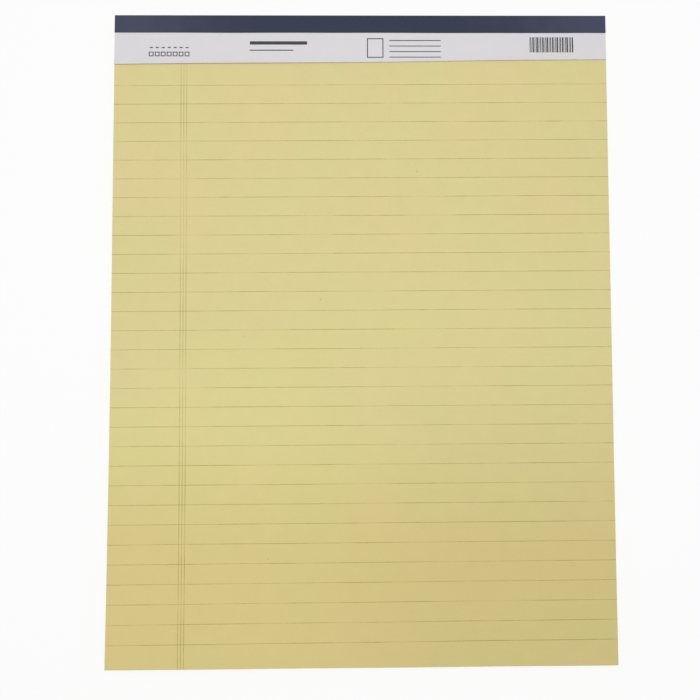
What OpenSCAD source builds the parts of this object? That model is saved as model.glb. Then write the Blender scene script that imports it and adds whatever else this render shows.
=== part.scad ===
// Glue-bound writing pad: a block of yellow ruled sheets on a stiff board, held
// along the head by padding glue, a white header strip and a folded dark tape.
// +X runs across the sheets, +Y points at the bound head and +Z is up.
// The origin is the middle of the underside, and all sizes are in millimetres.

/* [Pad] */
// Width across the sheets
pad_w = 215; // [150:0.5:300]
// Length from the foot to the outside of the bound head
pad_l = 280; // [180:0.5:400]

/* [Sheets] */
// Number of sheets in the block
sheet_count = 50; // [10:1:100]
// Thickness of one sheet as it lies in the block
sheet_t = 0.1; // [0.06:0.01:0.2]

/* [Back board] */
// Thickness of the stiff board under the sheets
board_t = 0.8; // [0.5:0.05:2]

/* [Binding] */
// Thickness of the binding tape
tape_t = 0.15; // [0.08:0.01:0.3]
// Depth of the tape's flap on the front, from the head
front_flap = 7.8; // [4:0.1:15]
// Depth of the tape's flap on the back, from the head
back_flap = 16; // [6:0.5:40]
// Thickness of the padding glue on the head of the block
glue_t = 0.25; // [0.1:0.05:1]

/* [Header strip] */
// Thickness of the header strip's paper
strip_t = 0.1; // [0.06:0.01:0.3]
// Reach of the strip below the head at its left end
strip_left = 22; // [16:0.1:40]
// Reach of the strip below the head at its right end
strip_right = 19.7; // [16:0.1:40]

/* [Ruling] */
// Bare paper between the strip's longer end and the middle of the first rule
first_gap = 8.9; // [4:0.1:30]
// Distance from one rule to the next
rule_pitch = 8.23; // [6:0.01:12]
// Turn of the whole print against the trimmed edges, in degrees
print_skew = 0.25; // [-1:0.05:1]
// Least bare paper below the last rule
foot_clear = 9; // [4:0.1:30]
// Width of a printed line
line_w = 0.2; // [0.1:0.05:1]
// Thickness of the printed ink
ink_t = 0.03; // [0.02:0.01:0.06]
// Number of upright margin lines
margin_count = 3; // [1:1:4]
// Distance from the left edge to the first margin line
margin_x = 29.6; // [15:0.1:60]
// Distance from one margin line to the next
margin_gap = 1.25; // [1:0.05:5]

/* [Hidden] */
$fn = 48;
half_w = pad_w / 2;
half_l = pad_l / 2;

// Heights, from the underside up
block_t = sheet_count * sheet_t;
sheets_top = board_t + block_t;
strip_top = sheets_top + strip_t;

// Faces at the head, from the inside out: sheets, then glue, then tape
glue_head_y = half_l - tape_t;
sheets_head_y = glue_head_y - glue_t;
sheets_l = half_l + sheets_head_y;

// Ruling down the sheet, with lines that reach past its edges however the print is turned
first_rule_y = half_l - max(strip_left, strip_right) - first_gap;
skew_drop = half_w * abs(tan(print_skew));
rule_count = floor((first_rule_y + half_l - foot_clear - skew_drop) / rule_pitch) + 1;
line_reach = pad_w + pad_l;

sheet_yellow = "#DCCE94";
board_grey = "#A39A8B";
strip_white = "#D8D6D8";
tape_navy = "#3F4655";
glue_cream = "#E6E0CC";
ink_blue = "#A5B08E";

// Runs a section drawn in Y and Z along the head, from the left edge to the right one
module along_head() {
  translate([-half_w, 0, 0])
    rotate([90, 0, 90])
      linear_extrude(pad_w)
        children();
}

// Outline of the header strip, whose lower edge runs slightly askew
module strip_outline() {
  polygon([
    [-half_w, half_l - strip_left],
    [half_w, half_l - strip_right],
    [half_w, sheets_head_y],
    [-half_w, sheets_head_y]
  ]);
}

// Plan of the rules and the upright margin lines, turned a little and cut off at the sheet's edges
module ruling_plan() {
  intersection() {
    translate([-half_w, -half_l])
      square([pad_w, sheets_l]);
    rotate(print_skew) {
      for (i = [0 : rule_count - 1])
        translate([-line_reach / 2, first_rule_y - i * rule_pitch - line_w / 2])
          square([line_reach, line_w]);
      for (i = [0 : margin_count - 1])
        translate([-half_w + margin_x + i * margin_gap - line_w / 2, -line_reach / 2])
          square([line_w, line_reach]);
    }
  }
}

// Section of the tape: front flap, head wall and back flap, with two sharp folds
module tape_section() {
  difference() {
    union() {
      translate([half_l - back_flap, 0])
        square([back_flap - tape_t, tape_t]);
      translate([half_l - front_flap, strip_top])
        square([front_flap - tape_t, tape_t]);
      translate([glue_head_y, tape_t])
        square([tape_t, strip_top - tape_t]);
      for (fold_z = [tape_t, strip_top])
        translate([glue_head_y, fold_z])
          circle(r = tape_t);
    }
    translate([half_l - back_flap, tape_t])
      square([back_flap - tape_t, strip_top - tape_t]);
  }
}

// All the sheets as one block on the board
module page_block() {
  color(sheet_yellow)
    translate([-half_w, -half_l, board_t])
      cube([pad_w, sheets_l, block_t]);
}

// Stiff board, pressed in under the tape's back flap so that the underside is flush
module back_board() {
  color(board_grey)
    difference() {
      translate([-half_w, -half_l, 0])
        cube([pad_w, sheets_l, board_t]);
      along_head()
        translate([half_l - back_flap, 0])
          square([back_flap, tape_t]);
    }
}

// White paper strip on the top sheet, its upper part under the tape
module header_strip() {
  color(strip_white)
    translate([0, 0, sheets_top])
      linear_extrude(strip_t)
        strip_outline();
}

// Dark paper tape folded round the head
module binding_tape() {
  color(tape_navy)
    along_head()
      tape_section();
}

// Film of padding glue between the head of the block and the tape
module padding_glue() {
  color(glue_cream)
    along_head()
      translate([sheets_head_y, tape_t])
        square([glue_t, strip_top - tape_t]);
}

// Printed lines on the top sheet, from the strip down to the foot
module printed_ruling() {
  color(ink_blue)
    translate([0, 0, sheets_top])
      linear_extrude(ink_t)
        difference() {
          ruling_plan();
          strip_outline();
        }
}

page_block();
back_board();
header_strip();
binding_tape();
padding_glue();
printed_ruling();
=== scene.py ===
# A glue-bound writing pad: yellow ruled sheets on a stiff board, a white header strip and a dark tape.
# All lengths are metres in the frame's own axes: X across the sheets, Y to the bound head, Z up.
import math

import bpy
import numpy as np
from mathutils import Matrix, Vector


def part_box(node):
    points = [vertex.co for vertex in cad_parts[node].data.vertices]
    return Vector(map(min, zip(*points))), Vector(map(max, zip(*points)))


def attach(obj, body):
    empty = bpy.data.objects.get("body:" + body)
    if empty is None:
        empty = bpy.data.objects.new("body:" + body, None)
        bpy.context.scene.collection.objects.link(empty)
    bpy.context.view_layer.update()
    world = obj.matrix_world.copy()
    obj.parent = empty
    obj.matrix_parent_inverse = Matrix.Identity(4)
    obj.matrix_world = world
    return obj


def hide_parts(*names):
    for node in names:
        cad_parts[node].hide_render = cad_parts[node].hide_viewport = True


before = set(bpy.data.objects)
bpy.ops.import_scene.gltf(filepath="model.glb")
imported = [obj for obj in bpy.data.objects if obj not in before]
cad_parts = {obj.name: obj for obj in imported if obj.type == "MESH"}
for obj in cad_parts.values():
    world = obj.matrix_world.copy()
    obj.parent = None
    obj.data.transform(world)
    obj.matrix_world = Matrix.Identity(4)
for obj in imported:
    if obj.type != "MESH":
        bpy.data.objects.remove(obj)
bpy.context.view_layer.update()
mm = 0.001
touch = 1e-6                     # places nearer to each other than this are one place
print("frame loaded:", ", ".join(sorted(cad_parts)))


# Shader maths

class Field:
    # One socket of a material: arithmetic on it adds Math nodes, and node() adds any other kind
    def __init__(self, tree, socket=None):
        self.tree = tree
        self.socket = socket

    # A new node: its settings are set first, then each socket gets its value or its link
    def node(self, kind, settings=None, sockets=None, out=0):
        made = self.tree.nodes.new("ShaderNode" + kind)
        for name, value in (settings or {}).items():
            setattr(made, name, value)
        for name, value in (sockets or {}).items():
            if isinstance(value, Field):
                self.tree.links.new(value.socket, made.inputs[name])
            else:
                made.inputs[name].default_value = value
        return Field(self.tree, made.outputs[out] if made.outputs else None)

    def maths(self, operation, first, second):
        return self.node("Math", {"operation": operation}, {0: first, 1: second})

    def __add__(self, other):
        return self.maths("ADD", self, other)

    def __sub__(self, other):
        return self.maths("SUBTRACT", self, other)

    def __rsub__(self, other):
        return self.maths("SUBTRACT", other, self)

    def __mul__(self, other):
        return self.maths("MULTIPLY", self, other)

    def __abs__(self):
        return self.maths("ABSOLUTE", self, 0.0)

    __radd__ = __add__
    __rmul__ = __mul__

    # 0 below low, 1 above high, and an S-curve between them; low may be the larger
    def rise(self, low, high):
        sockets = {"Value": self, "From Min": low, "From Max": high}
        return self.node("MapRange", {"interpolation_type": "SMOOTHSTEP"}, sockets)

    # The X, Y or Z of a place
    def axis(self, name):
        return self.node("SeparateXYZ", None, {0: self}, out=name)


# A new material, the field that its nodes grow from, and the place of a point on its piece
def newMaterial(name):
    material = bpy.data.materials.new(name)
    material.use_nodes = True
    material.node_tree.nodes.clear()
    start = Field(material.node_tree)
    return material, start, start.node("TexCoord", out="Object")


# Noise whose blotches are about size metres across, from 0 to 1
def cloudy(place, size, detail=2.0):
    return place.node("TexNoise", None, {"Vector": place, "Scale": 1 / size, "Detail": detail})


# The same noise drawn out into hairs: turned by angle, then length metres along and width across
def hairs(place, angle, length, width):
    turned = place.node("Mapping", None, {"Vector": place, "Rotation": (0, 0, angle)})
    drawn = place.node("Mapping", None, {"Vector": turned, "Scale": (1 / length, 1 / width, 1 / width)})
    return place.node("TexNoise", None, {"Vector": drawn, "Scale": 1.0, "Detail": 1.0})


# Two noises in one: the second counts by its share, the first by the rest
def mixed(share, first, second):
    return first * (1 - share) + second * share


# From low to high as a noise goes from 0 to 1
def between(noise, low, high):
    return noise * (high - low) + low


# Lightness about 1, which each noise moves by half of its shade up or down
def mottled(*parts):
    return sum((noise - 0.5) * shade for noise, shade in parts) + 1


# The sockets of a Mix node that mixes colours: its share, both colours and the outcome
mixShare, mixFirst, mixSecond, mixOutcome = 0, 6, 7, 2


# Colour a where share is 0, colour b where it is 1
def blend(share, a, b):
    settings = {"data_type": "RGBA"}
    return share.node("Mix", settings, {mixShare: share, mixFirst: a, mixSecond: b}, out=mixOutcome)


# A colour darkened or lightened by a factor that may vary
def shaded(colour, factor):
    settings = {"data_type": "RGBA", "blend_type": "MULTIPLY"}
    sockets = {mixShare: 1.0, mixFirst: colour, mixSecond: factor}
    return factor.node("Mix", settings, sockets, out=mixOutcome)


# Ends a material: a Principled surface of the colour given, with the piece's own gloss, a roughness that
# follows a noise between the piece's two, and a relief in metres
def surfaced(start, piece, colour, noise, relief):
    sockets = {
        "Base Color": colour,
        "Roughness": between(noise, *piece["roughness"]),
        "Specular IOR Level": piece["specular"],
        "Normal": start.node("Bump", None, {"Strength": 1.0, "Distance": 1.0, "Height": relief}),
    }
    start.node("OutputMaterial", None, {"Surface": start.node("BsdfPrincipled", None, sockets)})


# Screen colour from 0 to 255 as the linear colour that a socket takes
def screen(red, green, blue):
    levels = np.array([red, green, blue]) / 255
    linear = np.where(levels > 0.04045, ((levels + 0.055) / 1.055) ** 2.4, levels / 12.92)
    return (*linear.tolist(), 1.0)


# Meshes from whole arrays

# A mesh object from vertices and faces, riding on the pad, in place of the CAD nodes named
def addPiece(name, points, faces, material, nodes=()):
    mesh = bpy.data.meshes.new(name)
    mesh.from_pydata(points.reshape(-1, 3).tolist(), [], faces)
    mesh.materials.append(material)
    mesh.validate()
    piece = bpy.data.objects.new(name, mesh)
    bpy.context.scene.collection.objects.link(piece)
    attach(piece, "root")
    if nodes:
        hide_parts(*nodes)
    return piece


# Corner indices of a grid's cells, counter-clockwise seen from above when rows go to +Y
def cellQuads(index):
    corners = [index[:-1, :-1], index[:-1, 1:], index[1:, 1:], index[1:, :-1]]
    return np.stack(corners, -1).reshape(-1, 4)


# A grid's border in order: along the first row, up the last column, back and down
def border(grid):
    return np.concatenate([grid[0, :-1], grid[:-1, -1], grid[-1, :0:-1], grid[:0:-1, 0]])


# Closed skin over a top and a bottom grid of rows by columns, joined by rings of border points
# from the bottom up, so that the walls follow any profile
def closedSkin(top, bottom, rings):
    rows, columns = top.shape[:2]
    index = np.arange(rows * columns).reshape(rows, columns)
    below = index + rows * columns
    ringIndex = 2 * rows * columns + np.arange(rings.shape[0] * rings.shape[1]).reshape(rings.shape[:2])
    levels = np.vstack([border(below)[None], ringIndex, border(index)[None]])
    onward = np.roll(levels, -1, axis=1)
    walls = np.stack([levels[:-1], onward[:-1], onward[1:], levels[1:]], -1).reshape(-1, 4)
    faces = np.vstack([cellQuads(index), cellQuads(below)[:, ::-1], walls])
    points = np.concatenate([part.reshape(-1, 3) for part in (top, bottom, rings)])
    return points, faces.tolist()


# Closed bands carried along paths. The array is bands by stations by section points, where a section
# runs along its outer side and back along its inner side, so that point i faces point -1 - i
def sweptBands(sections):
    index = np.arange(sections[..., 0].size).reshape(sections.shape[:3])
    onward = np.roll(index, -1, axis=2)
    sides = np.stack([index[:, :-1], index[:, 1:], onward[:, 1:], onward[:, :-1]], -1).reshape(-1, 4)
    half = sections.shape[2] // 2
    outer, inner = index[:, :, :half], index[:, :, :half - 1:-1]
    caps = np.stack([outer[..., :-1], outer[..., 1:], inner[..., 1:], inner[..., :-1]], -1)
    faces = np.vstack([sides, caps[:, 0].reshape(-1, 4), caps[:, -1].reshape(-1, 4)[:, ::-1]])
    return sections, faces.tolist()


# Measures that the frame gives

# The points of a CAD node, for the places that its box alone does not give
def nodePoints(node):
    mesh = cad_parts[node].data
    flat = np.empty(len(mesh.vertices) * 3)
    mesh.vertices.foreach_get("co", flat)
    return flat.reshape(-1, 3)


# Both sides of each printed line where it runs off the sheet, in pairs: the places along one axis of the
# ink's points that lie on an edge across the other axis, each place counted once
def lineSides(across, edge, along):
    onEdge = np.isclose(inkPoints[:, across], edge, atol=touch)
    places = np.sort(inkPoints[onEdge, along])
    return places[np.diff(places, prepend=-np.inf) > touch].reshape(-1, 2)


sheetLow, sheetHigh = (np.array(corner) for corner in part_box("page_block"))
tapeLow, tapeHigh = (np.array(corner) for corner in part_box("binding_tape"))
tapeThick = tapeHigh[1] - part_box("padding_glue")[1][1]
stripPoints = nodePoints("header_strip")
stripLow, stripHigh = stripPoints.min(0), stripPoints.max(0)
stripThick = stripHigh[2] - stripLow[2]
inkPoints = nodePoints("printed_ruling")
ruleLeft = lineSides(0, sheetLow[0], 1)      # along Y, of each rule at the left edge and at the right one
ruleRight = lineSides(0, sheetHigh[0], 1)
marginFoot = lineSides(1, sheetLow[1], 0)    # along X, of each margin line at the foot
printSlope = float((ruleRight - ruleLeft).mean() / (sheetHigh[0] - sheetLow[0]))
print("print:", len(ruleLeft), "rules and", len(marginFoot), "margin lines, slope", round(printSlope, 5))


# Sheets

block = {
    "sheets": 50,                # sheets in the block, each with its own cut edge
    "columns": 61,               # points across the top sheet
    "rows": 79,                  # points along it
    "paperShare": 0.80,          # share of a sheet's height that is paper, the rest is the groove over it
    "seed": 7,                   # of the draws that make the sheets uneven
    "ragged": 0.09 * mm,         # furthest that a sheet's edge lies inside the trimmed edge
    "raggedWave": 0.35,          # share of that which comes and goes along the edge
    "raggedAcross": 40.0,        # its waves in radians for each metre across the sheet and along it
    "raggedAlong": 31.0,
    "raggedShift": 9.0,          # furthest that the waves of one sheet are shifted, in radians
    "groove": 0.10 * mm,         # depth of the groove between two sheets that lie close
    "grooveGrowth": 2.2,         # extra depth for each unit that two sheets have parted
    "curl": 3.0 * mm,            # rise of the top sheet at the left corner of the foot
    "curlFrom": 0.030,           # where along Y the curl begins
    "curlPower": 2.4,            # how suddenly the curl rises towards the foot
    "curlRight": 0.10,           # share of the rise that is left at the right corner
    "partPower": 3.5,            # how quickly the curl is lost from the top sheet down
    "ripple": 0.20 * mm,         # height of the slow waves in the loose part of the top sheets
    "rippleAcross": 75.0,        # waves in radians for each metre across the sheet and along it
    "rippleAlong": 42.0,

    # tones of the paper, and where along Y each goes over into the next
    "yellowHead": screen(221, 208, 149),
    "yellowMiddle": screen(221, 210, 147),
    # the foot's deeper, darker yellow is partly the paper's own and partly painted shade of the light's
    # fall-off
    "yellowFoot": screen(217, 201, 136),
    "toMiddle": (0.060, -0.020),
    "toFoot": (-0.020, -0.105),
    # painted light and shade: the paper is painted lighter at the left of the foot and darker at its right
    "paintedFootShade": 0.060,          # how much darker the paper is at the right of the foot than at its left
    "footAlong": (0.010, -0.050),    # where along Y that sets in, and where along X it changes
    "footAcross": (-0.050, 0.050),
    "driftSize": 38 * mm,        # patches that lean a little to green or to red
    "driftRise": (0.35, 0.65),
    "driftGreen": (0.985, 1.006, 0.985, 1),
    "driftRed": (1.010, 0.994, 1.005, 1),

    # sizes of the clouds, the grain and the fibres, how much they shade the paper and stand out of it
    "cloudSize": 7 * mm,
    "cloudShade": 0.050,
    "grainSize": 0.4 * mm,
    "grainShade": 0.060,
    "grainDepth": 0.018 * mm,
    "fibreAngles": (0.6, -0.9),
    "fibreLengths": (1.6 * mm, 1.3 * mm),
    "fibreWidth": 0.12 * mm,
    "fibreShade": 0.080,
    "fibreDepth": 0.024 * mm,
    "roughness": (0.84, 0.92),
    "specular": 0.30,

    # what the cut edges lose: painted shade on all of them, each sheet's tone with painted groove shade, and
    # bled ink
    "paintedEdgeShade": 0.04,
    "edgeToneAndGrooveShade": 0.20,
    "edgeInk": 0.16,
    "toneDrift": 0.18,           # how far the tone wanders from sheet to sheet
    "toneJump": 0.50,            # and how far a sheet leaves its neighbours
    # painted shade: the grooves between sheets take their sheet's tone this much more strongly
    "paintedGrooveShade": 1.6,           # tone of a groove against the edge below it
    "bleed": 0.25 * mm,          # half the width of the stripe that a line leaves on the cut edges
    "stripeEnds": (0.3, 0.2),    # pitches past the outermost lines at which the stripes are gone and full

    # dark flecks in the top sheet: where they lie, and how much light they take
    "flecks": ((0.0242, 0.0707, 0.27), (-0.0177, 0.0149, 0.24), (-0.0507, -0.0009, 0.16),
               (-0.0400, -0.0950, 0.16)),
    "fleckSize": 0.50 * mm,
    "coreShare": 0.3,            # share of a stripe's or a fleck's reach that is fully dark
}


# Rise of the top sheet over its flat place: a power of the way from the start of the curl to the foot,
# largest at the left corner and falling in a straight line to the right one, and slow waves that grow
# with the way from the head
def curlRise(x, y):
    way = np.clip((block["curlFrom"] - y) / (block["curlFrom"] - sheetLow[1]), 0, 1)
    across = (sheetHigh[0] - x) / (sheetHigh[0] - sheetLow[0])
    share = block["curlRight"] + (1 - block["curlRight"]) * across
    fromHead = np.clip((stripLow[1] - y) / (stripLow[1] - sheetLow[1]), 0, 1)
    wave = 0.5 + 0.5 * np.sin(block["rippleAcross"] * x + block["rippleAlong"] * y)
    return block["curl"] * share * way ** block["curlPower"] + block["ripple"] * fromHead * wave


# Height of the top sheet's face
def sheetTop(x, y):
    return sheetHigh[2] + curlRise(x, y)


# The yellow of the sheets: a little greener in the middle, and deeper towards the foot, partly the paper's
# own tone and partly painted shade of the light's fall-off; there painted shade also makes the right darker
# than the left
def sheetYellow(place):
    across, along = place.axis("X"), place.axis("Y")
    upper = blend(along.rise(*block["toMiddle"]), block["yellowHead"], block["yellowMiddle"])
    whole = blend(along.rise(*block["toFoot"]), upper, block["yellowFoot"])
    side = across.rise(*block["footAcross"]) - 0.5
    return shaded(whole, 1 - along.rise(*block["footAlong"]) * side * block["paintedFootShade"])


# Thin stripes at every whole number of pitches from the first of the places to the last
def stripes(along, places):
    pitch = float(np.diff(places).mean())
    order = (along - float(places[0])) * (1 / pitch)
    near = abs(along.maths("FRACT", order + 0.5, 0.0) - 0.5) * pitch
    gone, full = block["stripeEnds"]
    last = len(places) - 1
    within = order.rise(-gone, -full) * order.rise(last + gone, last + full)
    return near.rise(block["bleed"], block["coreShare"] * block["bleed"]) * within


# Share of ink on the cut edges, where the lines run off the sheets: the rules leave stripes on both sides,
# and the margin lines on the foot
def bledInk(place):
    across, along = place.axis("X"), place.axis("Y")
    ruleMiddles = (ruleLeft + ruleRight).mean(1) / 2
    rules = stripes(along - across * printSlope, ruleMiddles)
    margins = stripes(across + (along - float(sheetLow[1])) * printSlope, marginFoot.mean(1))
    return rules + margins


# Share of light that the flecks take: each fades out at its size from its own middle
def fleckShade(place):
    def one(x, y, dark):
        sockets = {0: place, 1: (x, y, float(sheetTop(x, y)))}
        away = place.node("VectorMath", {"operation": "DISTANCE"}, sockets, out="Value")
        return away.rise(block["fleckSize"], block["coreShare"] * block["fleckSize"]) * dark

    return sum(one(*fleck) for fleck in block["flecks"])


# Uncoated paper: the yellow with its drifting tint, mottled by clouds, grain and two lays of fibres, less
# what the flecks take, and on the cut edges painted shade, the sheet's tone, painted groove shade and bled
# ink
def sheetPaper():
    material, start, place = newMaterial("sheetPaper")
    edge = start.node("Attribute", {"attribute_name": "edge"}, out="Fac")
    toneAndGrooveShade = start.node("Attribute", {"attribute_name": "toneAndGrooveShade"}, out="Fac")
    cloud = cloudy(place, block["cloudSize"], detail=4.0)
    drift = cloudy(place, block["driftSize"], detail=1.0)
    grain = cloudy(place, block["grainSize"])
    lays = zip(block["fibreAngles"], block["fibreLengths"])
    fibre = 0.5 * sum(hairs(place, angle, length, block["fibreWidth"]) for angle, length in lays)
    tint = blend(drift.rise(*block["driftRise"]), block["driftGreen"], block["driftRed"])
    shades = ((cloud, block["cloudShade"]), (grain, block["grainShade"]), (fibre, block["fibreShade"]))
    # painted shade on all cut edges and deeper in the grooves, beside each sheet's own tone and the bled ink
    lost = toneAndGrooveShade * block["edgeToneAndGrooveShade"] + bledInk(place) * block["edgeInk"] + block["paintedEdgeShade"]
    lightness = mottled(*shades) * (1 - edge * lost) * (1 - fleckShade(place))
    colour = shaded(shaded(sheetYellow(place), tint), lightness)
    surfaced(start, block, colour, grain, grain * block["grainDepth"] + fibre * block["fibreDepth"])
    return material


# The block: a top face on a grid, and a wall whose profile climbs sheet by sheet. Each sheet has a lower
# and an upper cut edge, set in by its own ragged amount, and over it a groove that deepens where sheets part
def makePageBlock():
    random = np.random.RandomState(block["seed"])
    x = np.linspace(sheetLow[0], sheetHigh[0], block["columns"])
    y = np.linspace(sheetLow[1], sheetHigh[1], block["rows"])
    gridX, gridY = np.meshgrid(x, y)
    top = np.stack([gridX, gridY, sheetTop(gridX, gridY)], -1)
    bottom = np.stack([gridX, gridY, np.full_like(gridX, sheetLow[2])], -1)
    rimX, rimY = border(gridX), border(gridY)
    loose = rimY < sheetHigh[1]              # the head is glued, so its sheets lie flush and closed
    outX = np.sign(rimX) * np.isclose(np.abs(rimX), sheetHigh[0])
    outY = -1.0 * np.isclose(rimY, sheetLow[1])

    count = block["sheets"]
    pitch = (sheetHigh[2] - sheetLow[2]) / count
    order = np.arange(count)[:, None]
    share = (order / (count - 1)) ** block["partPower"]
    low = sheetLow[2] + order * pitch + share * curlRise(rimX, rimY)
    high = low + block["paperShare"] * pitch
    setIn = random.rand(count, 1)
    shift = block["raggedShift"] * random.rand(count, 1)
    wave = np.sin(rimX * block["raggedAcross"] + rimY * block["raggedAlong"] + shift)
    inset = block["ragged"] * np.clip(setIn + block["raggedWave"] * wave, 0, 1) * loose
    parted = np.diff(low, axis=0, append=low[-1:] + pitch) - pitch
    depth = inset + (block["groove"] + block["grooveGrowth"] * parted) * loose
    middle = np.vstack([(high[:-1] + low[1:]) / 2, high[-1:]])

    inner = slice(1, -2)                     # without the lowest and the highest edge, which the faces give
    insets = np.stack([inset, inset, depth], 1).reshape(3 * count, -1)[inner]
    heights = np.stack([low, high, middle], 1).reshape(3 * count, -1)[inner]
    rings = np.stack([rimX - outX * insets, rimY - outY * insets, heights], -1)
    points, faces = closedSkin(top, bottom, rings)
    piece = addPiece("pageBlock", points, faces, sheetPaper(), nodes=["page_block"])

    sheetTonesAndGrooveShade = np.cumsum(random.randn(count)) * block["toneDrift"] + block["toneJump"] * random.rand(count)
    # the groove rings take the tone more strongly: painted shade in the grooves between sheets
    sheetTonesAndGrooveShade = np.mod(np.abs(sheetTonesAndGrooveShade), 1.0)[:, None] * np.array([1.0, 1.0, block["paintedGrooveShade"]])
    ringToneAndGrooveShade = np.repeat(sheetTonesAndGrooveShade.reshape(-1)[inner], rimX.size)
    flat = np.zeros(2 * gridX.size)          # the top and the bottom face have neither edge nor tone
    for name, values in (("edge", np.ones_like(ringToneAndGrooveShade)), ("toneAndGrooveShade", ringToneAndGrooveShade)):
        layer = piece.data.attributes.new(name, "FLOAT", "POINT")
        layer.data.foreach_set("value", np.concatenate([flat, values]).astype(np.float32))
    print("page block:", count, "sheets,", len(faces), "faces")


# Ruling

ruling = {
    "stations": 81,              # points along each line, so that it follows the curl
    "inkHeight": 0.02 * mm,
    "marginLift": 0.004 * mm,    # the margin lines were printed over the rules
    "underStrip": 0.3 * mm,      # how far the margin lines run on under the header strip
    "wobble": 0.012 * mm,        # unevenness of a printed line's sides
    "ruleWaves": 900.0,          # its waves in radians for each metre along a rule and along a margin line
    "marginWaves": 800.0,
    "ruleShift": 50.0,           # their shift in radians for each metre from line to line
    "marginShift": 60.0,
    "sideShift": 2.5,            # and from one side of a rule to the other
    "inkDense": (0.50, 0.47, 0.30, 1),   # what a full and a thin film of ink let the paper give back
    "inkThin": (0.94, 0.92, 0.83, 1),
    "patchSize": 18 * mm,        # patches where the ink is thin, and the speckle in it
    "speckleSize": 0.25 * mm,
    "speckleShare": 0.3,         # what the speckle counts beside the patches
    "thinRise": (0.38, 0.66),
    "speckleDepth": 0.004 * mm,
    "roughness": (0.74, 0.84),
    "specular": 0.25,
}


# Printed ink: the yellow under it with its painted shade, seen through a film thin in patches and speckles
def ruleInk():
    material, start, place = newMaterial("ruleInk")
    patch = cloudy(place, ruling["patchSize"], detail=3.0)
    speckle = cloudy(place, ruling["speckleSize"])
    thin = mixed(ruling["speckleShare"], patch, speckle).rise(*ruling["thinRise"])
    colour = shaded(sheetYellow(place), blend(thin, ruling["inkDense"], ruling["inkThin"]))
    surfaced(start, ruling, colour, speckle, speckle * ruling["speckleDepth"])
    return material


# Rules and margin lines as thin bands laid on the top sheet: a rule is a straight line from its left end
# to its right one, a margin line leans from the foot up by the print's slope, and both have a flat section
# of the line's width and the ink's height
def makeRuling():
    side = np.array([0, 1, 1, 0])            # outer side of the section, then the inner side back
    raised = np.array([1, 1, 0, 0])

    way = np.linspace(0, 1, ruling["stations"])[None, :, None]
    leftY, rightY = (sides[:, side][:, None, :] for sides in (ruleLeft, ruleRight))
    ruleX = sheetLow[0] + way * (sheetHigh[0] - sheetLow[0]) + 0 * leftY
    shift = ruling["ruleShift"] * leftY + ruling["sideShift"] * side
    ruleY = leftY + way * (rightY - leftY) + ruling["wobble"] * np.sin(ruling["ruleWaves"] * ruleX + shift)
    ruleZ = sheetTop(ruleX, ruleY) + ruling["inkHeight"] * raised

    footX = marginFoot[:, 1 - side][:, None, :]
    stripEdge = stripLower(marginFoot.mean(1)) + ruling["underStrip"]
    marginY = sheetLow[1] + way * (stripEdge[:, None, None] - sheetLow[1]) + 0 * footX
    wobble = ruling["wobble"] * np.sin(ruling["marginWaves"] * marginY + ruling["marginShift"] * footX)
    marginX = footX - printSlope * (marginY - sheetLow[1]) + wobble
    marginZ = sheetTop(marginX, marginY) + (ruling["inkHeight"] + ruling["marginLift"]) * raised

    bands = np.concatenate([np.stack([ruleX, ruleY, ruleZ], -1), np.stack([marginX, marginY, marginZ], -1)])
    points, faces = sweptBands(bands)
    addPiece("printedRuling", points, faces, ruleInk(), nodes=["printed_ruling"])
    print("ruling:", len(bands), "lines,", len(faces), "faces")


# Header strip

strip = {
    "columns": 87,               # points across the strip
    "rows": 25,                  # points from its free edge to the head
    "rowPower": 1.7,             # how closely the rows crowd towards the free edge
    "springs": 0.75 * mm,        # how far the strip's free lower edge stands off the sheet at its left end
    "springRight": 0.50,         # share of that at its right end
    "springReach": 2.4 * mm,     # distance over which it comes down
    "springSway": 0.15,          # share of it that comes and goes along the edge
    "springWaves": 52.0,         # waves of that in radians for each metre, and where they start
    "springStart": 4.0,
    "wave": 0.2 * mm,            # unevenness of the cut lower edge
    "waveStart": 0.2,            # share of the strip's width at which its wave starts
    "white": screen(219, 217, 219),
    "tintRise": (0.3, 0.7),
    "tintCool": (0.992, 0.995, 1.008, 1),
    "tintWarm": (1.006, 1.0, 0.996, 1),
    "cloudSize": 5 * mm,
    "cloudShade": 0.030,
    "grainSize": 0.35 * mm,
    "grainShade": 0.020,
    "grainDepth": 0.0072 * mm,
    "fibreAngle": 0.3,
    "fibreLength": 1.2 * mm,
    "fibreWidth": 0.1 * mm,
    "fibreShade": 0.010,
    "fibreDepth": 0.0048 * mm,
    "roughness": (0.62, 0.70),
    "specular": 0.35,
}


# Y of the strip's lower edge: a straight line between its two lower corners, less one slow wave that
# fades out at both ends
def stripLower(x):
    leftY = stripPoints[np.isclose(stripPoints[:, 0], stripLow[0]), 1].min()
    rightY = stripPoints[np.isclose(stripPoints[:, 0], stripHigh[0]), 1].min()
    way = (x - stripLow[0]) / (stripHigh[0] - stripLow[0])
    wave = np.sin(2 * math.pi * (way - strip["waveStart"])) * np.sin(math.pi * way)
    return leftY + (rightY - leftY) * way - strip["wave"] * wave


# Height of the strip's upper face: it springs up off the sheet towards its free edge, less at the right
# end than at the left one, and in slow waves
def stripTop(x, y):
    way = (x - stripLow[0]) / (stripHigh[0] - stripLow[0])
    share = 1 - (1 - strip["springRight"]) * way
    sway = np.sin(strip["springWaves"] * x + strip["springStart"])
    spring = strip["springs"] * share * (1 - strip["springSway"] * (1 - sway))
    return stripHigh[2] + spring * np.exp(-(y - stripLower(x)) / strip["springReach"])


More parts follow.
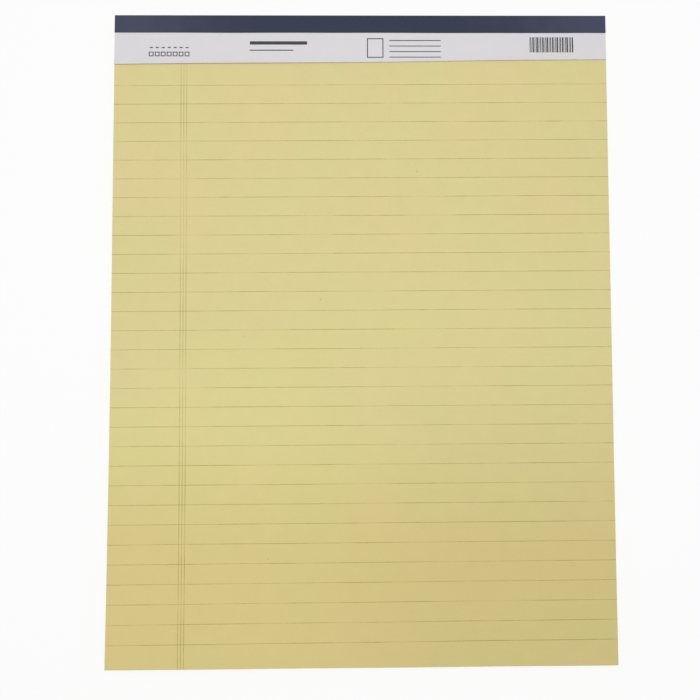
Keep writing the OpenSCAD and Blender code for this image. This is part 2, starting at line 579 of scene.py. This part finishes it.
# White printing paper: clouds that lean to blue or to red, mottled by clouds, grain and fibres
def stripPaper():
    material, start, place = newMaterial("stripPaper")
    cloud = cloudy(place, strip["cloudSize"], detail=3.0)
    grain = cloudy(place, strip["grainSize"])
    fibre = hairs(place, strip["fibreAngle"], strip["fibreLength"], strip["fibreWidth"])
    tint = blend(cloud.rise(*strip["tintRise"]), strip["tintCool"], strip["tintWarm"])
    shades = ((cloud, strip["cloudShade"]), (grain, strip["grainShade"]), (fibre, strip["fibreShade"]))
    colour = shaded(shaded(strip["white"], tint), mottled(*shades))
    surfaced(start, strip, colour, grain, grain * strip["grainDepth"] + fibre * strip["fibreDepth"])
    return material


# The strip: rows from the free edge up to the head, closed by a wall as high as the paper is thick
def makeHeaderStrip():
    x = np.linspace(stripLow[0], stripHigh[0], strip["columns"])
    way = np.linspace(0, 1, strip["rows"])[:, None] ** strip["rowPower"]
    gridX = x + 0 * way
    gridY = stripLower(gridX) + way * (stripHigh[1] - stripLower(gridX))
    height = stripTop(gridX, gridY)
    top = np.stack([gridX, gridY, height], -1)
    bottom = np.stack([gridX, gridY, height - stripThick], -1)
    noRings = np.empty((0, len(border(gridX)), 3))
    points, faces = closedSkin(top, bottom, noRings)
    addPiece("headerStrip", points, faces, stripPaper(), nodes=["header_strip"])
    print("header strip:", len(faces), "faces")


# Header print

headerPrint = {
    "stations": 9,               # points along each mark, so that it follows the strip
    "inkHeight": 0.012 * mm,
    "hair": 0.01,                # mm between the strokes that meet at a box's corner
    "ink": screen(56, 56, 60),
    "inkThin": screen(92, 92, 96),
    "thinRise": (0.45, 0.75),
    "speckleSize": 0.18 * mm,
    "speckleDepth": 0.004 * mm,
    "roughness": (0.55, 0.70),
    "specular": 0.25,
    # places in mm from the strip's left end and from the head
    "tickBoxes": {"left": 15.0, "top": 16.3, "count": 7, "step": 2.6, "size": 2.1, "stroke": 0.40},
    "tickDashes": {"top": 14.2, "width": 1.3, "height": 0.5},
    "titleRules": {"left": 59.0, "top": (11.6, 15.4), "width": (25.0, 19.0), "height": (1.5, 0.45)},
    "stampFrame": {"left": 110.2, "top": 10.2, "width": 7.2, "height": 8.8, "stroke": 0.42},
    "fillLines": {"left": 120.0, "top": 11.0, "width": 22.5, "count": 4, "step": 2.5, "height": 0.38},
    "bars": {"left": 181.5, "top": 9.7, "height": 6.8, "count": 27, "thin": 0.206},
}


# Dark printing ink that is thin in speckles
def printInk():
    material, start, place = newMaterial("printInk")
    speckle = cloudy(place, headerPrint["speckleSize"], detail=3.0)
    colour = blend(speckle.rise(*headerPrint["thinRise"]), headerPrint["ink"], headerPrint["inkThin"])
    surfaced(start, headerPrint, colour, speckle, speckle * headerPrint["speckleDepth"])
    return material


# Rectangles (left, top, right, foot), one for each entry of the arrays given
def plates(left, top, width, height):
    return np.stack(np.broadcast_arrays(left, top, left + width, top + height), -1).reshape(-1, 4)


# The four strokes of each box, the upright ones a hair short of the others
def boxes(left, top, width, height, stroke):
    inset = stroke + headerPrint["hair"]
    upright = height - 2 * inset
    return np.concatenate([
        plates(left, top, width, stroke),
        plates(left, top + height - stroke, width, stroke),
        plates(left, top + inset, stroke, upright),
        plates(left + width - stroke, top + inset, stroke, upright),
    ])


# Plain printed marks on the strip: tick boxes under dashes, a thick and a thin rule, a frame with
# fill-in lines, and bars whose widths step through one, two and three. Each is a flat band along its
# longer side, on the strip's upper face
def makeHeaderPrint():
    ticks, dashes, title = (headerPrint[name] for name in ("tickBoxes", "tickDashes", "titleRules"))
    stamp, lines, bars = (headerPrint[name] for name in ("stampFrame", "fillLines", "bars"))
    tickLeft = ticks["left"] + ticks["step"] * np.arange(ticks["count"])
    dashLeft = tickLeft + (ticks["size"] - dashes["width"]) / 2
    lineTop = lines["top"] + lines["step"] * np.arange(lines["count"])
    order = np.arange(bars["count"])
    barWidth = bars["thin"] * (1 + order % 3)
    barStep = barWidth + bars["thin"] * (1 + order % 2)
    barLeft = bars["left"] + np.cumsum(barStep) - barStep
    marks = np.concatenate([
        boxes(tickLeft, ticks["top"], ticks["size"], ticks["size"], ticks["stroke"]),
        plates(dashLeft, dashes["top"], dashes["width"], dashes["height"]),
        plates(title["left"], *(np.array(title[name]) for name in ("top", "width", "height"))),
        boxes(stamp["left"], stamp["top"], stamp["width"], stamp["height"], stamp["stroke"]),
        plates(lines["left"], lineTop, lines["width"], lines["height"]),
        plates(barLeft, bars["top"], barWidth, bars["height"]),
    ])

    left, top, right, foot = marks.T[:, :, None, None] * mm
    width, height = right - left, foot - top
    upright = height > width
    way = np.linspace(-0.5, 0.5, headerPrint["stations"])[:, None]
    side = np.array([-0.5, 0.5, 0.5, -0.5])  # across the upper side of the section, then back below it
    raised = np.array([1, 1, 0, 0])
    x = stripLow[0] + (left + right) / 2 + width * np.where(upright, -side, way)
    y = tapeHigh[1] - (top + foot) / 2 + height * np.where(upright, way, side)
    z = stripTop(x, y) + headerPrint["inkHeight"] * raised
    points, faces = sweptBands(np.stack([x, y, z], -1))
    addPiece("headerPrint", points, faces, printInk())
    print("header print:", len(marks), "marks")


# Binding tape

tape = {
    "stations": 109,             # points across the pad
    "foldSteps": 7,              # points round each fold
    "foldInside": 0.03 * mm,     # radius on the inside of a fold
    "flapPoints": 14,            # points across each flap
    "edgeWander": 0.05 * mm,     # unevenness of the front flap's cut edge
    "wanderWaves": (140.0, 61.0),    # its two waves in radians for each metre, and where the second starts
    "wanderStart": 2.0,
    "steady": 2 * mm,            # width beside the front fold that stays straight
    "navy": screen(46, 54, 72),
    "navyRubbed": screen(66, 71, 91),
    "rubbedRise": (0.055, 0.125),    # distances from the middle at which rubbing sets in and is full
    "rubbedStray": 0.03,         # how far the clouds move that
    "worn": screen(118, 121, 131),
    "wornRise": (0.62, 0.95),    # heights of the grain and the clouds at which wear sets in and is full
    "wornCloud": 0.5,            # what the clouds count there beside the grain
    # distances from a fold and from the tape's ends at which wear sets in and is full
    "foldWear": (0.7 * mm, 0.1 * mm),
    "endWear": (1.0 * mm, 0.3 * mm),
    "frontWorn": 0.12,           # how much of the wear shows at the front fold, the back fold and the ends
    "backWorn": 0.25,
    "endsWorn": 0.15,
    "cloudSize": 9 * mm,
    "cloudShade": 0.08,
    "grainSize": 0.3 * mm,
    "grainShade": 0.14,
    "grainDepth": 0.010 * mm,
    "weaveLength": 1.4 * mm,
    "weaveWidth": 0.14 * mm,
    "weaveShade": 0.10,
    "weaveDepth": 0.010 * mm,
    "roughness": (0.46, 0.60),
    "specular": 0.15,
}


# Dark grained paper: rubbed lighter towards both ends, worn along the folds and the ends where grain and
# clouds are high, and mottled by grain, a fine weave along X and clouds
def tapePaper():
    material, start, place = newMaterial("tapePaper")
    across, height = abs(place.axis("X")), place.axis("Z")
    toHead = float(tapeHigh[1]) - place.axis("Y")
    cloud = cloudy(place, tape["cloudSize"], detail=3.0)
    grain = cloudy(place, tape["grainSize"], detail=3.0)
    weave = hairs(place, 0.0, tape["weaveLength"], tape["weaveWidth"])
    rubbed = (across + cloud * tape["rubbedStray"]).rise(*tape["rubbedRise"])
    frontFold = (toHead + (float(tapeHigh[2]) - height)).rise(*tape["foldWear"])
    backFold = (toHead + (height - float(tapeLow[2]))).rise(*tape["foldWear"])
    ends = (float(tapeHigh[0]) - across).rise(*tape["endWear"])
    places = frontFold * tape["frontWorn"] + backFold * tape["backWorn"] + ends * tape["endsWorn"]
    worn = (grain + cloud * tape["wornCloud"]).rise(*tape["wornRise"]) * places
    colour = blend(worn, blend(rubbed, tape["navy"], tape["navyRubbed"]), tape["worn"])
    shades = ((grain, tape["grainShade"]), (weave, tape["weaveShade"]), (cloud, tape["cloudShade"]))
    relief = grain * tape["grainDepth"] + weave * tape["weaveDepth"]
    surfaced(start, tape, shaded(colour, mottled(*shades)), grain, relief)
    return material


# The tape: its U-shaped section, front flap, head wall and back flap with a quarter turn at each fold,
# carried across the pad. From a line through the middles of the folds, the outer and the inner side lie
# the outside and the inside radius away along its normal
def makeBindingTape():
    points = nodePoints("binding_tape")
    onFront = np.isclose(points[:, 2], tapeHigh[2], atol=touch)
    frontEdge = points[onFront, 1].min()
    inside, outside = tape["foldInside"], tape["foldInside"] + tapeThick
    foldY, lowFold, highFold = tapeHigh[1] - outside, tapeLow[2] + outside, tapeHigh[2] - outside
    turn = np.linspace(0, math.pi / 2, tape["foldSteps"])
    front = np.linspace(frontEdge, foldY, tape["flapPoints"])[:-1]
    back = np.linspace(foldY, tapeLow[1], tape["flapPoints"])[1:]

    centreY = np.concatenate([front, np.full(2 * turn.size, foldY), back])
    centreZ = np.repeat([highFold, lowFold], [front.size + turn.size, turn.size + back.size])
    normal = np.concatenate([np.zeros(front.size), turn, turn + math.pi / 2, np.full(back.size, math.pi)])
    reach = np.repeat([outside, inside], normal.size)
    sectionY = np.append(centreY, centreY[::-1]) + reach * np.sin(np.append(normal, normal[::-1]))
    sectionZ = np.append(centreZ, centreZ[::-1]) + reach * np.cos(np.append(normal, normal[::-1]))

    x = np.linspace(tapeLow[0], tapeHigh[0], tape["stations"])[:, None]
    steadyY = foldY - tape["steady"]
    nearEdge = np.clip((steadyY - sectionY) / (steadyY - frontEdge), 0, 1) * (sectionZ > lowFold)
    firstWave, secondWave = tape["wanderWaves"]
    waves = np.sin(firstWave * x) + np.sin(secondWave * x + tape["wanderStart"])
    y = sectionY + tape["edgeWander"] * waves / 2 * nearEdge
    bands = np.stack([x + 0 * y, y, sectionZ + 0 * y], -1)[None]
    points, faces = sweptBands(bands)
    addPiece("bindingTape", points, faces, tapePaper(), nodes=["binding_tape"])
    print("binding tape:", len(faces), "faces")


# Board and glue, which keep their CAD solids and get their finishes here

board = {
    "pulp": screen(160, 152, 139),
    "pulpDark": screen(146, 137, 123),
    "pulpRise": (0.3, 0.7),
    "cloudSize": 16 * mm,        # clouds and grain that darken the pulp
    "grainSize": 0.7 * mm,
    "grainShare": 0.6,           # what the grain counts beside the clouds
    "grainDepth": 0.025 * mm,
    # light and dark fibres: their directions in radians, sizes, colour and how much of it shows
    "lightFibres": {"angles": (0.3, 1.3, 2.4), "length": 4.0 * mm, "width": 0.30 * mm},
    "fibreLight": screen(190, 183, 169),
    "lightShare": 0.60,
    "lightDepth": 0.015 * mm,
    "darkFibres": {"angles": (0.9, 1.9, 2.9), "length": 3.0 * mm, "width": 0.25 * mm},
    "fibreDark": screen(96, 89, 80),
    "darkShare": 0.55,
    "fibreRise": (0.63, 0.74),
    "bendSize": 5 * mm,          # size of the bends in the fibres, and how far they reach
    "bend": 4 * mm,
    "fleck": screen(74, 74, 80),
    "fleckShare": 0.65,
    "fleckSpacing": 4 * mm,
    "fleckRise": (0.11, 0.06),   # shares of the spacing at which a fleck is gone and full
    "fleckChance": (0.45, 0.80),     # which of them show a little and fully
    "tearSize": 0.5 * mm,        # size of the bites out of a fleck's outline, and how far they reach
    "tear": 0.7 * mm,
    "plySize": 0.22 * mm,        # height of the plies that the cut edges show, and how much longer they are
    "plyLength": 20.0,
    "plyShade": 0.10,
    "plyDepth": 0.010 * mm,
    "roughness": (0.86, 0.96),
    "specular": 0.2,
}
glue = {
    "cream": screen(226, 219, 198),
    "thick": screen(206, 196, 168),
    "thickRise": (0.3, 0.7),
    "cloudSize": 2 * mm,
    "brushLength": 6 * mm,       # strokes of the brush along the head
    "brushWidth": 0.3 * mm,
    "brushShare": 0.5,           # what they count beside the clouds
    "brushDepth": 0.03 * mm,
    "roughness": (0.35, 0.50),
    "specular": 0.5,
}


# The place moved along each axis by a noise of the given size, from nothing to the reach
def stirred(place, size, reach):
    noise = place.node("TexNoise", None, {"Vector": place, "Scale": 1 / size}, out="Color")
    return place.node("VectorMath", {"operation": "MULTIPLY_ADD"}, {0: noise, 1: (reach,) * 3, 2: place})


# Bent fibres that lie along several angles: the strongest of them counts
def felted(place, angles, length, width):
    bent = stirred(place, board["bendSize"], board["bend"])
    fibres = 0.0
    for angle in angles:
        fibre = hairs(bent, angle, length, width).rise(*board["fibreRise"])
        fibres = place.maths("MAXIMUM", fibre, fibres)
    return fibres


# Grey chipboard: pulp darkened by clouds and grain, with light and dark fibres on it, and flecks at some of
# the middles of scattered cells with torn outlines. Noise pressed flat shows plies on the cut edges
def boardPulp():
    material, start, place = newMaterial("boardPulp")
    cloud = cloudy(place, board["cloudSize"], detail=3.0)
    grain = cloudy(place, board["grainSize"], detail=3.0)
    light = felted(place, **board["lightFibres"])
    dark = felted(place, **board["darkFibres"])
    cells = {"Vector": stirred(place, board["tearSize"], board["tear"]), "Scale": 1 / board["fleckSpacing"]}
    near = start.node("TexVoronoi", None, cells, out="Distance")
    chance = start.node("SeparateColor", None, {0: start.node("TexVoronoi", None, cells, out="Color")})
    fleck = near.rise(*board["fleckRise"]) * chance.rise(*board["fleckChance"])
    pressed = (1 / board["plyLength"], 1 / board["plyLength"], 1.0)
    plies = cloudy(start.node("Mapping", None, {"Vector": place, "Scale": pressed}), board["plySize"])
    pulp = mixed(board["grainShare"], cloud, grain).rise(*board["pulpRise"])
    colour = blend(pulp, board["pulpDark"], board["pulp"])
    colour = blend(light * board["lightShare"], colour, board["fibreLight"])
    colour = blend(dark * board["darkShare"], colour, board["fibreDark"])
    colour = blend(fleck * board["fleckShare"], colour, board["fleck"])
    relief = grain * board["grainDepth"] + light * board["lightDepth"] + plies * board["plyDepth"]
    surfaced(start, board, shaded(colour, mottled((plies, board["plyShade"]))), grain, relief)
    return material


# Dried padding glue: cream, and deeper where clouds and brush strokes left it thick
def glueFilm():
    material, start, place = newMaterial("glueFilm")
    cloud = cloudy(place, glue["cloudSize"], detail=3.0)
    brush = hairs(place, 0.0, glue["brushLength"], glue["brushWidth"])
    thick = mixed(glue["brushShare"], cloud, brush).rise(*glue["thickRise"])
    surfaced(start, glue, blend(thick, glue["cream"], glue["thick"]), cloud, brush * glue["brushDepth"])
    return material


# Gives a CAD node one material in place of its own
def finishNode(node, material):
    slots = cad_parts[node].data.materials
    slots.clear()
    slots.append(material)
    print("finish:", node, "in", material.name)


# Stage, light and camera

stage = {
    "floorSize": 8.0,
    "floorDrop": 0.05 * mm,      # how far the floor lies below the pad's underside
    "floorWhite": 0.96,          # what the floor gives back of the light
    "whiteShare": 0.80,          # share of the floor near the pad that the camera sees as plain white
    "whiteRise": (0.25, 1.20),   # the share grows to all of it between these distances from the middle
    "worldStrength": 0.40,
    "softboxWatts": 3.0,
    "softboxSize": 0.36,
    "softboxAt": (-0.03, 0.07, 0.70),
    "softboxAim": (-0.01, 0.04, 0.0),
}


# 1 where the camera, a gloss or a clear piece looks straight at the surface
def seenShare(start):
    rays = ("Is Camera Ray", "Is Glossy Ray", "Is Transmission Ray")
    camera, gloss, clear = (start.node("LightPath", out=name) for name in rays)
    return start.maths("MAXIMUM", start.maths("MAXIMUM", camera, gloss), clear)


# A square white floor: matte for the light, and for what looks at it mostly plain white, which grows to all
# of it with the distance from the middle, so that the pad keeps a faint shadow
def makeFloor():
    material, start, place = newMaterial("floorPaper")
    grey = stage["floorWhite"]
    matte = start.node("BsdfDiffuse", None, {"Color": (grey, grey, grey, 1)})
    plain = start.node("Emission", None, {"Color": (1, 1, 1, 1), "Strength": 1.0})
    away = start.node("VectorMath", {"operation": "LENGTH"}, {0: place}, out="Value")
    white = between(away.rise(*stage["whiteRise"]), stage["whiteShare"], 1)
    both = start.node("MixShader", None, {0: seenShare(start) * white, 1: matte, 2: plain})
    start.node("OutputMaterial", None, {"Surface": both})
    half = stage["floorSize"] / 2
    corners = np.array([(-half, -half, 0), (half, -half, 0), (half, half, 0), (-half, half, 0)])
    mesh = bpy.data.meshes.new("floor")
    mesh.from_pydata((corners - [0, 0, stage["floorDrop"]]).tolist(), [], [(0, 1, 2, 3)])
    mesh.materials.append(material)
    floor = bpy.data.objects.new("floor", mesh)
    bpy.context.scene.collection.objects.link(floor)
    print("floor:", stage["floorSize"], "m square")


# An even white world, weaker for the light than for what looks at it, and one softbox over the pad
def makeLight():
    world = bpy.data.worlds.new("studio")
    world.use_nodes = True
    world.node_tree.nodes.clear()
    start = Field(world.node_tree)
    strength = between(seenShare(start), stage["worldStrength"], 1)
    sky = start.node("Background", None, {"Color": (1, 1, 1, 1), "Strength": strength})
    start.node("OutputWorld", None, {"Surface": sky})
    bpy.context.scene.world = world

    lamp = bpy.data.lights.new("softbox", "AREA")
    lamp.size = stage["softboxSize"]
    lamp.energy = stage["softboxWatts"]
    softbox = bpy.data.objects.new("softbox", lamp)
    at, aim = Vector(stage["softboxAt"]), Vector(stage["softboxAim"])
    softbox.location = at
    softbox.rotation_euler = (aim - at).to_track_quat("-Z", "Y").to_euler()
    softbox.visible_camera = False
    bpy.context.scene.collection.objects.link(softbox)
    print("light: world", stage["worldStrength"], "and a softbox of", stage["softboxWatts"], "watts")


view = {
    "distance": 0.330,           # from the middle of the top sheet to the lens
    "tilt": -2.894,              # degrees about X, Y and Z that the pad is turned before the lens
    "swing": 0.473,
    "roll": 0.160,
    "aside": 5.079 * mm,         # how far the pad's middle lies to the right of the lens axis
    "ahead": 6.848 * mm,         # and towards the head
    "focalPixels": 768.5,
    "imagePixels": 700,
    "sensor": 36.0,
    "nearest": 0.01,             # nothing closer than this is drawn
}


# The lens stands over the turned pad, so its place in the pad's own axes is the inverse turn of
# (-aside, -ahead, distance), and its axes are the rows of that turn
def makeCamera():
    angles = [math.radians(view[name]) for name in ("tilt", "swing", "roll")]
    turn = Matrix.Identity(3)
    for angle, axis in zip(angles, "XYZ"):
        turn = turn @ Matrix.Rotation(angle, 3, axis)
    back = turn.transposed()
    place = back @ Vector((-view["aside"], -view["ahead"], view["distance"]))
    place.z += sheetHigh[2]
    lens = bpy.data.cameras.new("camera")
    lens.sensor_width = view["sensor"]
    lens.lens = view["sensor"] * view["focalPixels"] / view["imagePixels"]
    lens.clip_start = view["nearest"]
    camera = bpy.data.objects.new("camera", lens)
    camera.matrix_world = Matrix.Translation(place) @ back.to_4x4()
    bpy.context.scene.collection.objects.link(camera)
    bpy.context.scene.camera = camera
    print("camera:", view["distance"], "m over the top sheet")


makeCamera()
makeFloor()
makeLight()
bpy.context.scene.view_settings.view_transform = "Standard"
makePageBlock()
makeRuling()
makeHeaderStrip()
makeHeaderPrint()
makeBindingTape()
finishNode("back_board", boardPulp())
finishNode("padding_glue", glueFilm())
